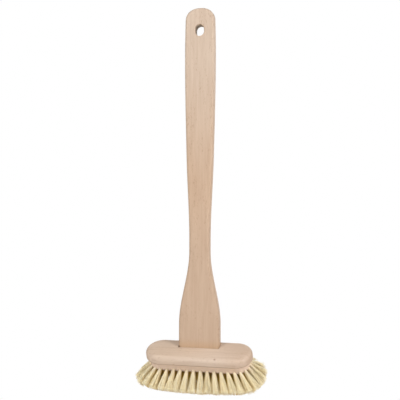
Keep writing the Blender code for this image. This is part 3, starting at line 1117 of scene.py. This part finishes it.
def markHead(start, place, colour):
    h = headMarks
    colour = addSpots(start, place, colour, h["spots"])
    x, y, z = (start.node("SeparateXYZ", inputs={0: place}, out=axis) for axis in range(3))
    offCrease = ((z - h["crease"]) * (z - h["crease"])) ** 0.5
    # painted shade down the front, along the crease, towards the back edge and among the tufts,
    # and painted light on the band below the shoulder
    layers = (
        ("right", x.between(*h["rightFade"]), "rightTone"),
        ("front", 1 - z.between(h["crease"], h["frontTop"]), "paintedShadeTone"),
        ("band", 1 - z.between(*h["bandFade"]), "bandPaintedLight"),
        ("under", 1 - z.between(*h["underFade"]), "underShadeTone"),
        ("crease", 1 - offCrease.between(*h["creaseHalf"]), "paintedShadeTone"),
        ("back", y.between(*h["backFade"]), "paintedShadeTone"),
    )
    for layer, share, toneName in layers:
        colour = (share * h[layer + "Strength"]).blendOf(colour, h[toneName])
    return colour


# Building

handleBeech = makeBeech("handleBeech", "Z", handleWood, markHandle, handleFade)
headBeech = makeBeech("headBeech", "X", headWood, markHead)
plantFibre = makeFibreMaterial()
driedGlue = makeGlueMaterial()

handlePiece = makeHandle(handleBeech)
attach(handlePiece, "root")
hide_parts("handle")
print("handle made, faces:", len(handlePiece.data.polygons))

tuftNames = sorted(name for name in cadNodes if "tuft" in name)
tuftSeats = {name: readSeat(name) for name in tuftNames}
trimSlopes(tuftSeats)

headPiece = makeHead(headBeech, tuftSeats)
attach(headPiece, "root")
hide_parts("head_block")
print("head made, faces:", len(headPiece.data.polygons))

gluePiece = makeGlue(driedGlue)
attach(gluePiece, "root")
print("glue made")

tuftRandom = random.Random(fibre["seed"])
for tuftName in tuftNames:
    tuftPiece = makeTuft(tuftName + "_fibres", tuftSeats[tuftName], plantFibre, tuftRandom)
    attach(tuftPiece, "root")
    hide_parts(tuftName)
print("tufts made:", len(tuftNames))


# Floor: far enough below the brush to stay out of the picture, white to the camera
# except for the brush's own soft shadow.

stage = {
    "floorBelow": 0.20,         # under the lowest fibre
    "radius": 3.0,
    "floorSides": 96,
    "floorTone": 0.9,
    "floorRoughness": 0.9,
    "shadowFade": (0.15, 0.55), # how far from the middle the shadow is full, and gone
    "shadowGlow": 0.55,         # the floor's own light where the shadow is full
    "aim": Vector((0, 0, -0.2)),
    "lamps": {
        "leftSoftbox": {"place": (-0.75, -1.07, 0.55), "size": 0.4, "power": 11.0},
        "rightSoftbox": {"place": (1.15, -0.60, 0.55), "size": 0.4, "power": 12.0},
        "sideSoftbox": {"place": (1.45, -0.30, -0.20), "size": 0.5, "power": 2.7},
        "lowSoftbox": {"place": (0.10, -1.25, -0.80), "size": 0.6, "power": 15.5},
        "backSoftbox": {"place": (0.0, 1.3, -0.10), "size": 1.0, "power": 6.5},
    },
    "world": 0.36,
}


def makeFloor():
    z = cadLow.z - stage["floorBelow"]
    radius, sides = stage["radius"], stage["floorSides"]
    turns = [fullTurn * i / sides for i in range(sides)]
    verts = [(radius * math.cos(turn), radius * math.sin(turn), z) for turn in turns]
    material, tree, shader = newMaterial("floorWhite")
    start = Wire(tree)
    place = start.node("TexCoord", out="Object")
    flat = start.node("VectorMath", {"operation": "MULTIPLY"}, {0: place, 1: (1, 1, 0)})
    away = start.node("VectorMath", {"operation": "LENGTH"}, {0: flat}, out="Value")
    onCamera = start.node("LightPath", out="Is Camera Ray")
    glow = start.node("Emission", inputs={"Color": (1, 1, 1, 1), "Strength": 1.0})
    grey = stage["floorTone"]
    shader.inputs["Base Color"].default_value = (grey, grey, grey, 1)
    shader.inputs["Roughness"].default_value = stage["floorRoughness"]
    far = away.between(*stage["shadowFade"])
    ownLight = onCamera * (stage["shadowGlow"] + far * (1 - stage["shadowGlow"]))
    lit = Wire(tree, shader.outputs[0])
    white = start.node("MixShader", inputs={0: ownLight, 1: lit, 2: glow})
    below = start.node("NewGeometry", out="Backfacing")
    clear = start.node("BsdfTransparent")
    seen = start.node("MixShader", inputs={0: below * onCamera, 1: white, 2: clear})
    tree.links.new(seen.socket, tree.nodes["Material Output"].inputs["Surface"])
    floor = newPiece("floor", verts, [tuple(range(sides))], material)


def makeWorld():
    world = bpy.data.worlds.new("studio")
    bpy.context.scene.world = world
    world.use_nodes = True
    tree = world.node_tree
    start = Wire(tree)
    light = tree.nodes["Background"]
    light.inputs["Color"].default_value = (1, 1, 1, 1)
    light.inputs["Strength"].default_value = stage["world"]
    white = start.node("Background", inputs={"Color": (1, 1, 1, 1), "Strength": 1.0})
    onCamera = start.node("LightPath", out="Is Camera Ray")
    lit = Wire(tree, light.outputs[0])
    mixed = start.node("MixShader", inputs={0: onCamera, 1: lit, 2: white})
    tree.links.new(mixed.socket, tree.nodes["World Output"].inputs["Surface"])


def makeLamps():
    for name, facts in stage["lamps"].items():
        lamp = bpy.data.lights.new(name, "AREA")
        lamp.shape = "SQUARE"
        lamp.size = facts["size"]
        lamp.energy = facts["power"]
        holder = bpy.data.objects.new(name, lamp)
        holder.location = facts["place"]
        holder.rotation_mode = "QUATERNION"
        holder.rotation_quaternion = (stage["aim"] - holder.location).to_track_quat("-Z", "Y")
        bpy.context.scene.collection.objects.link(holder)


# Camera: level with the neck of the handle, a little to the right of the front.

cameraFacts = {
    "place": Vector((0.1901, -0.7355, -0.2148)),
    "azimuth": math.radians(14.5),
    "lookUp": math.radians(1.964),
    "roll": math.radians(0.15),
    "sensor": 36.0,
    "lens": 61.67,
}


def makeCamera():
    c = cameraFacts
    forward = Vector((
        -math.sin(c["azimuth"]) * math.cos(c["lookUp"]),
        math.cos(c["azimuth"]) * math.cos(c["lookUp"]),
        math.sin(c["lookUp"]),
    ))
    data = bpy.data.cameras.new("camera")
    data.sensor_width = c["sensor"]
    data.lens = c["lens"]
    camera = bpy.data.objects.new("camera", data)
    camera.location = c["place"]
    camera.rotation_mode = "QUATERNION"
    level = forward.to_track_quat("-Z", "Y")
    camera.rotation_quaternion = level @ Matrix.Rotation(c["roll"], 4, "Z").to_quaternion()
    bpy.context.scene.collection.objects.link(camera)
    bpy.context.scene.camera = camera


makeFloor()
makeWorld()
makeLamps()
makeCamera()
bpy.context.scene.view_settings.view_transform = "Standard"
print("stage, light and camera made")
